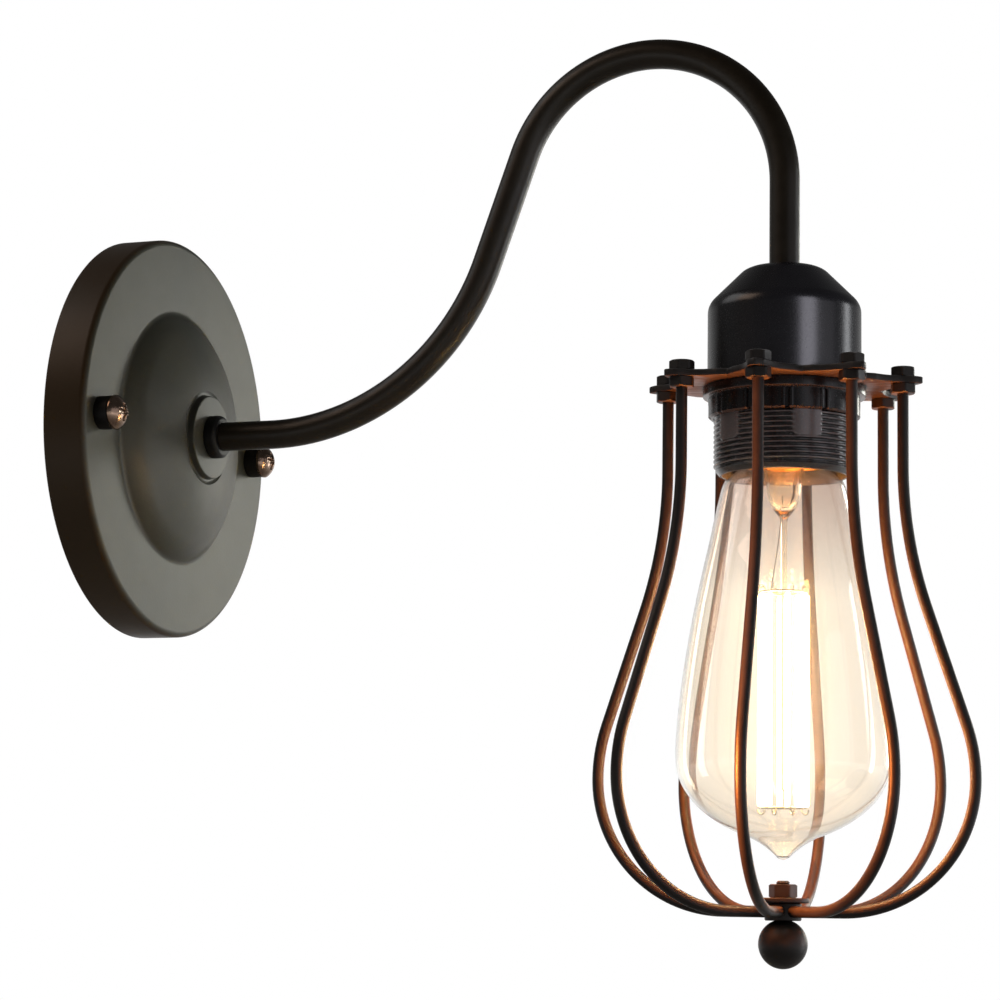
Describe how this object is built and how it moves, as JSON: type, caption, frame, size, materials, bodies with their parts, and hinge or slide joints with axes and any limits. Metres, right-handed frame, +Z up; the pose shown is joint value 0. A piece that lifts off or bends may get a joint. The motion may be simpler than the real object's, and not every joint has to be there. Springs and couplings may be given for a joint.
{
  "type": "cage wall light",
  "caption": "Wall light with a round domed wall plate, a swan-neck tube arm and a screwed lampholder that carries a bulged wire cage round a long filament bulb.",
  "frame": {"origin": "centre of the bracket's back face, on the wall", "axes": "+Y into the wall, +Z up, the light stands out along -Y and the arm lies in the plane x = 0"},
  "size_m": [0.129, 0.2756, 0.2852],
  "materials": {
    "plate_paint": "satin enamel, dark olive grey",
    "arm_paint": "satin enamel, dark brown-black",
    "holder_black": "satin moulded phenolic",
    "cage_paint": "satin black enamel",
    "collar_black": "matt black",
    "screw_metal": "dull nickelled brass",
    "zinc_steel": "zinc plated",
    "brass": "bare brass",
    "porcelain": "cream insulating block",
    "block_plastic": "cream nylon",
    "live_cover": "brown insulation",
    "neutral_cover": "blue insulation",
    "amber_glass": "clear amber glass",
    "cap_metal": "rolled brass",
    "black_glass": "fused black insulator",
    "solder": "dull tinned",
    "clear_glass": "clear stem glass",
    "support_wire": "drawn wire",
    "filament": "lit, warm"
  },
  "bodies": {
    "fixture": {"wall_plate": "plate_paint", "wall_bracket": "zinc_steel", "plate_screws": "screw_metal", "screw_collars": "collar_black", "earth_screw": "brass", "terminal_block": "block_plastic", "terminal_screws": "zinc_steel", "arm_tube": "arm_paint", "arm_collar": "collar_black", "arm_lock_nut": "zinc_steel", "tooth_washer": "zinc_steel", "live_lead": "live_cover", "neutral_lead": "neutral_cover", "holder_cup": "holder_black", "holder_nut": "zinc_steel", "holder_skirt": "holder_black", "holder_insert": "porcelain", "holder_terminals": "brass", "screw_shell": "brass", "centre_contact": "brass", "cage_flange": "cage_paint", "cage_upper_nuts": "cage_paint", "cage_lower_nuts": "cage_paint", "cage_wire_1": "cage_paint", "cage_wire_2": "cage_paint", "cage_wire_3": "cage_paint", "cage_wire_4": "cage_paint", "cage_wire_5": "cage_paint", "cage_wire_6": "cage_paint", "cage_wire_7": "cage_paint", "cage_wire_8": "cage_paint", "hub_collar": "cage_paint", "hub_disc": "cage_paint", "hub_nut": "cage_paint"},
    "bulb": {"bulb_glass": "amber_glass", "bulb_cap": "cap_metal", "bulb_insulator": "black_glass", "bulb_contact": "solder", "bulb_stem": "clear_glass", "filament_supports": "support_wire", "filament_sticks": "filament"},
    "finial": {"finial_ball": "cage_paint"},
    "ring": {"shade_ring": "holder_black"}
  },
  "joints": [
    {"name": "bulb_turn", "type": "hinge", "parent": "fixture", "child": "bulb", "pos_m": [0, -0.217, 0], "axis": [0, 0, -1], "range_deg": [0, 600]},
    {"name": "finial_turn", "type": "hinge", "parent": "fixture", "child": "finial", "pos_m": [0, -0.217, 0], "axis": [0, 0, -1], "range_deg": [0, 2520]},
    {"name": "shade_ring_turn", "type": "hinge", "parent": "fixture", "child": "ring", "pos_m": [0, -0.217, 0], "axis": [0, 0, -1], "range_deg": [0, 3600]}
  ]
}
